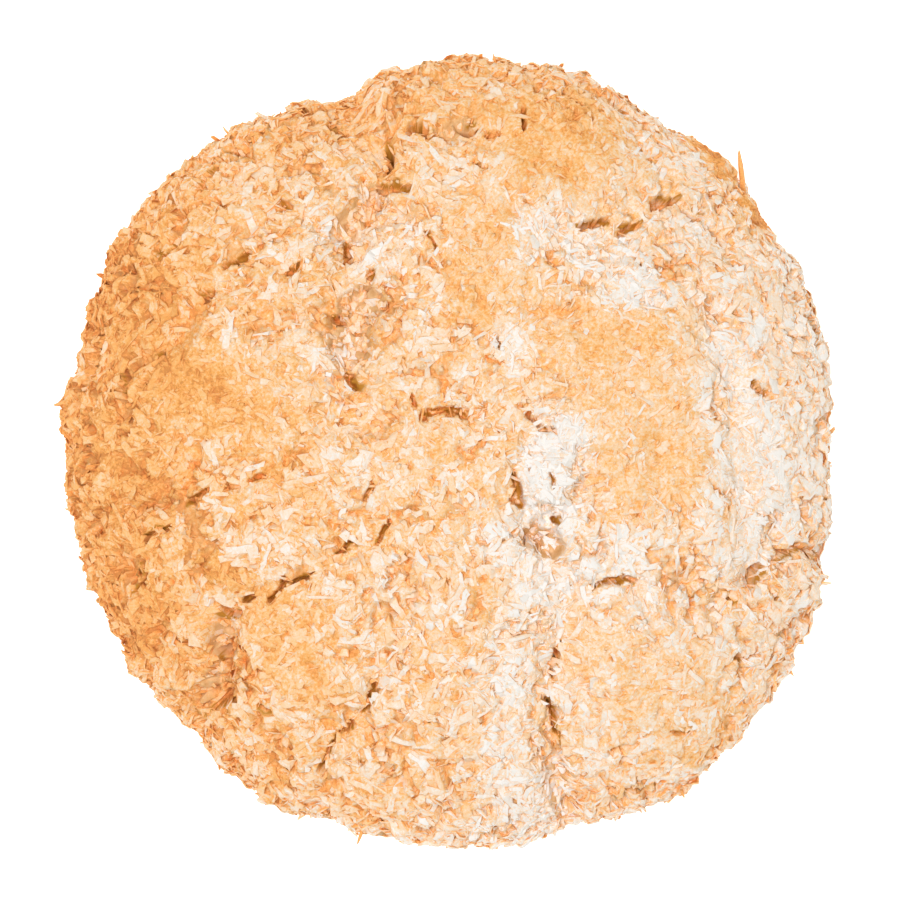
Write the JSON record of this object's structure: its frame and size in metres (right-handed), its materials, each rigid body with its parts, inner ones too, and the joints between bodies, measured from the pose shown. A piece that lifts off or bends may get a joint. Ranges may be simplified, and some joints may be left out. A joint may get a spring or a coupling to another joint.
{
  "type": "coconut cookie",
  "caption": "Round, thick baked cookie with a cracked, domed top, toasted coconut shreds all over and a flat base to rest on.",
  "frame": {"origin": "on the plane of the flat base, under the middle of the cookie", "axes": "+Z up out of the crown, +X to the right and +Y up in the picture, which looks straight down"},
  "size_m": [0.0851, 0.0876, 0.0196],
  "materials": {
    "cookie": "rough, dry, baked golden crust with toasted coconut"
  },
  "bodies": {
    "root": {"cookie": "cookie"}
  },
  "joints": []
}
